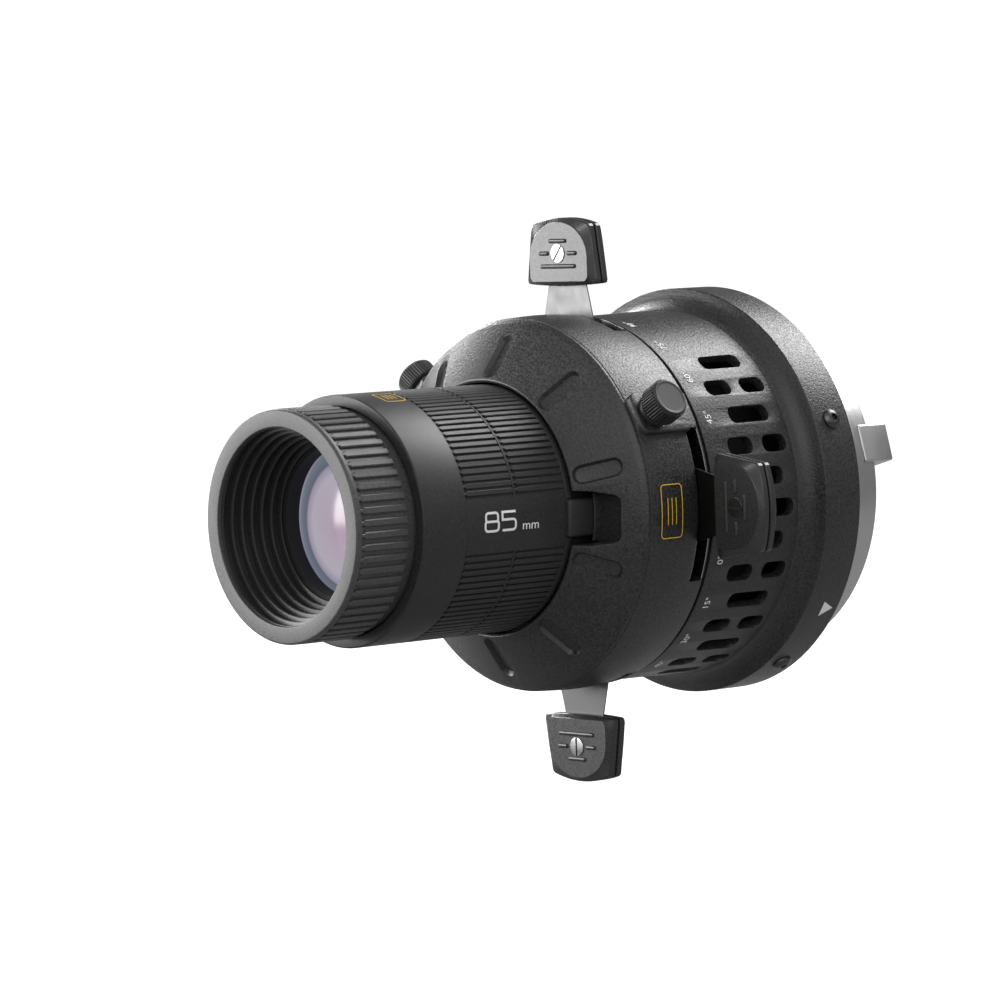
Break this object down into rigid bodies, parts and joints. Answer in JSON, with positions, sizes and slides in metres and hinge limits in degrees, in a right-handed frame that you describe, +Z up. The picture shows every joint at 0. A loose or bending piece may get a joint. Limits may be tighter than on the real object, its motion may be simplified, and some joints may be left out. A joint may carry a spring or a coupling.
{
  "type": "ellipsoidal spotlight attachment",
  "caption": "Ellipsoidal spotlight attachment: ribbed focusing lens tube, conical cover, framing shutters with grips, vented barrel and rear bayonet ring.",
  "frame": {"origin": "on the optical axis, in the plane of the rim's rear face", "axes": "+Y along the optical axis to the rear, the lens faces -Y; +Z up; +X to the side of the release button"},
  "size_m": [0.206, 0.2412, 0.206],
  "materials": {
    "silver_aluminium": "satin machined",
    "bright_steel": "bright",
    "dark_steel": "satin dark",
    "coated_glass": "purple anti-reflection coating",
    "condenser_glass": "clear",
    "textured_black": "fine wrinkle texture",
    "satin_black": "satin",
    "smooth_black": "smooth satin",
    "grip_black": "satin moulded",
    "dark_blade": "satin blackened",
    "steel_blade": "brushed",
    "spring_steel": "satin",
    "matte_black": "matte anodised"
  },
  "bodies": {
    "base": {"mount_ring": "silver_aluminium", "mount_screws": "bright_steel", "rim_flange": "textured_black", "rim_screws": "dark_steel", "vented_barrel": "textured_black", "condenser_cell": "matte_black", "rear_condenser_lens": "condenser_glass", "front_condenser_lens": "condenser_glass", "condenser_spacer": "matte_black", "condenser_lock_ring": "matte_black"},
    "front_head": {"shutter_housing": "textured_black", "gate_plate": "matte_black", "gate_posts": "matte_black", "shutter_retainer": "matte_black", "swivel_ring": "silver_aluminium", "front_cover": "textured_black", "lens_socket": "matte_black", "lens_tube": "satin_black"},
    "clamp_knob_right": {"clamp_knob_right": "smooth_black"},
    "clamp_shoe_right": {"clamp_shoe_right": "matte_black"},
    "clamp_knob_left": {"clamp_knob_left": "smooth_black"},
    "clamp_shoe_left": {"clamp_shoe_left": "matte_black"},
    "shutter_pivot_right": {"brake_pad_right": "spring_steel"},
    "shutter_right": {"blade_right": "dark_blade", "grip_front_right": "grip_black", "grip_rear_right": "grip_black", "grip_screw_right": "bright_steel"},
    "shutter_pivot_left": {"brake_pad_left": "spring_steel"},
    "shutter_left": {"blade_left": "steel_blade", "grip_front_left": "grip_black", "grip_rear_left": "grip_black", "grip_screw_left": "bright_steel"},
    "shutter_pivot_top": {"brake_pad_top": "spring_steel"},
    "shutter_top": {"blade_top": "steel_blade", "grip_front_top": "grip_black", "grip_rear_top": "grip_black", "grip_screw_top": "bright_steel"},
    "shutter_pivot_bottom": {"brake_pad_bottom": "spring_steel"},
    "shutter_bottom": {"blade_bottom": "steel_blade", "grip_front_bottom": "grip_black", "grip_rear_bottom": "grip_black", "grip_screw_bottom": "bright_steel"},
    "release_button": {"release_button": "smooth_black"},
    "lens_carriage": {"lens_cell": "matte_black", "front_lens": "coated_glass", "rear_lens": "coated_glass", "lens_spacer": "matte_black", "lens_lock_ring": "matte_black"},
    "focus_ring": {"focus_ring": "satin_black", "front_hood": "matte_black"}
  },
  "joints": [
    {"name": "head_swivel", "type": "hinge", "parent": "base", "child": "front_head", "pos_m": [0, -0.066, 0], "axis": [0, 1, 0], "range_deg": [-90, 90]},
    {"name": "knob_turn_right", "type": "hinge", "parent": "front_head", "child": "clamp_knob_right", "pos_m": [0.05936, -0.09, 0.03709], "axis": [0.848, 0, 0.5299], "range_deg": [0, 360]},
    {"name": "shoe_lift_right", "type": "slide", "parent": "front_head", "child": "clamp_shoe_right", "axis": [0.848, 0, 0.5299], "range_m": [0, 0.001]},
    {"name": "knob_turn_left", "type": "hinge", "parent": "front_head", "child": "clamp_knob_left", "pos_m": [-0.05936, -0.09, 0.03709], "axis": [-0.848, 0, 0.5299], "range_deg": [0, 360]},
    {"name": "shoe_lift_left", "type": "slide", "parent": "front_head", "child": "clamp_shoe_left", "axis": [-0.848, 0, 0.5299], "range_m": [0, 0.001]},
    {"name": "shutter_tilt_right", "type": "hinge", "parent": "front_head", "child": "shutter_pivot_right", "pos_m": [0.06092, -0.0744, 0.00319], "axis": [0, 1, 0], "range_deg": [-12, 12]},
    {"name": "shutter_slide_right", "type": "slide", "parent": "shutter_pivot_right", "child": "shutter_right", "axis": [0.9986, 0, 0.0523], "range_m": [-0.007, 0.012]},
    {"name": "shutter_tilt_left", "type": "hinge", "parent": "front_head", "child": "shutter_pivot_left", "pos_m": [-0.06092, -0.0732, -0.00319], "axis": [0, 1, 0], "range_deg": [-12, 12]},
    {"name": "shutter_slide_left", "type": "slide", "parent": "shutter_pivot_left", "child": "shutter_left", "axis": [-0.9986, 0, -0.0523], "range_m": [-0.007, 0.012]},
    {"name": "shutter_tilt_top", "type": "hinge", "parent": "front_head", "child": "shutter_pivot_top", "pos_m": [-0.00319, -0.072, 0.06092], "axis": [0, 1, 0], "range_deg": [-12, 12]},
    {"name": "shutter_slide_top", "type": "slide", "parent": "shutter_pivot_top", "child": "shutter_top", "axis": [-0.0523, 0, 0.9986], "range_m": [-0.007, 0.012]},
    {"name": "shutter_tilt_bottom", "type": "hinge", "parent": "front_head", "child": "shutter_pivot_bottom", "pos_m": [0.00319, -0.0708, -0.06092], "axis": [0, 1, 0], "range_deg": [-12, 12]},
    {"name": "shutter_slide_bottom", "type": "slide", "parent": "shutter_pivot_bottom", "child": "shutter_bottom", "axis": [0.0523, 0, -0.9986], "range_m": [-0.007, 0.012]},
    {"name": "button_press", "type": "slide", "parent": "front_head", "child": "release_button", "axis": [-1, 0, 0], "range_m": [0, 0.0015], "stiffness_N_per_m": 300},
    {"name": "focus_turn", "type": "hinge", "parent": "front_head", "child": "focus_ring", "pos_m": [0, -0.2, 0], "axis": [0, 1, 0], "range_deg": [0, 240]},
    {"name": "lens_travel", "type": "slide", "parent": "front_head", "child": "lens_carriage", "axis": [0, 1, 0], "range_m": [0, 0.0121]}
  ],
  "couplings": [
    {"joint": "knob_turn_right", "follows": "shoe_lift_right", "rad_per_m": 6283.2},
    {"joint": "knob_turn_left", "follows": "shoe_lift_left", "rad_per_m": 6283.2},
    {"joint": "lens_travel", "follows": "focus_turn", "m_per_rad": 0.0028648}
  ]
}
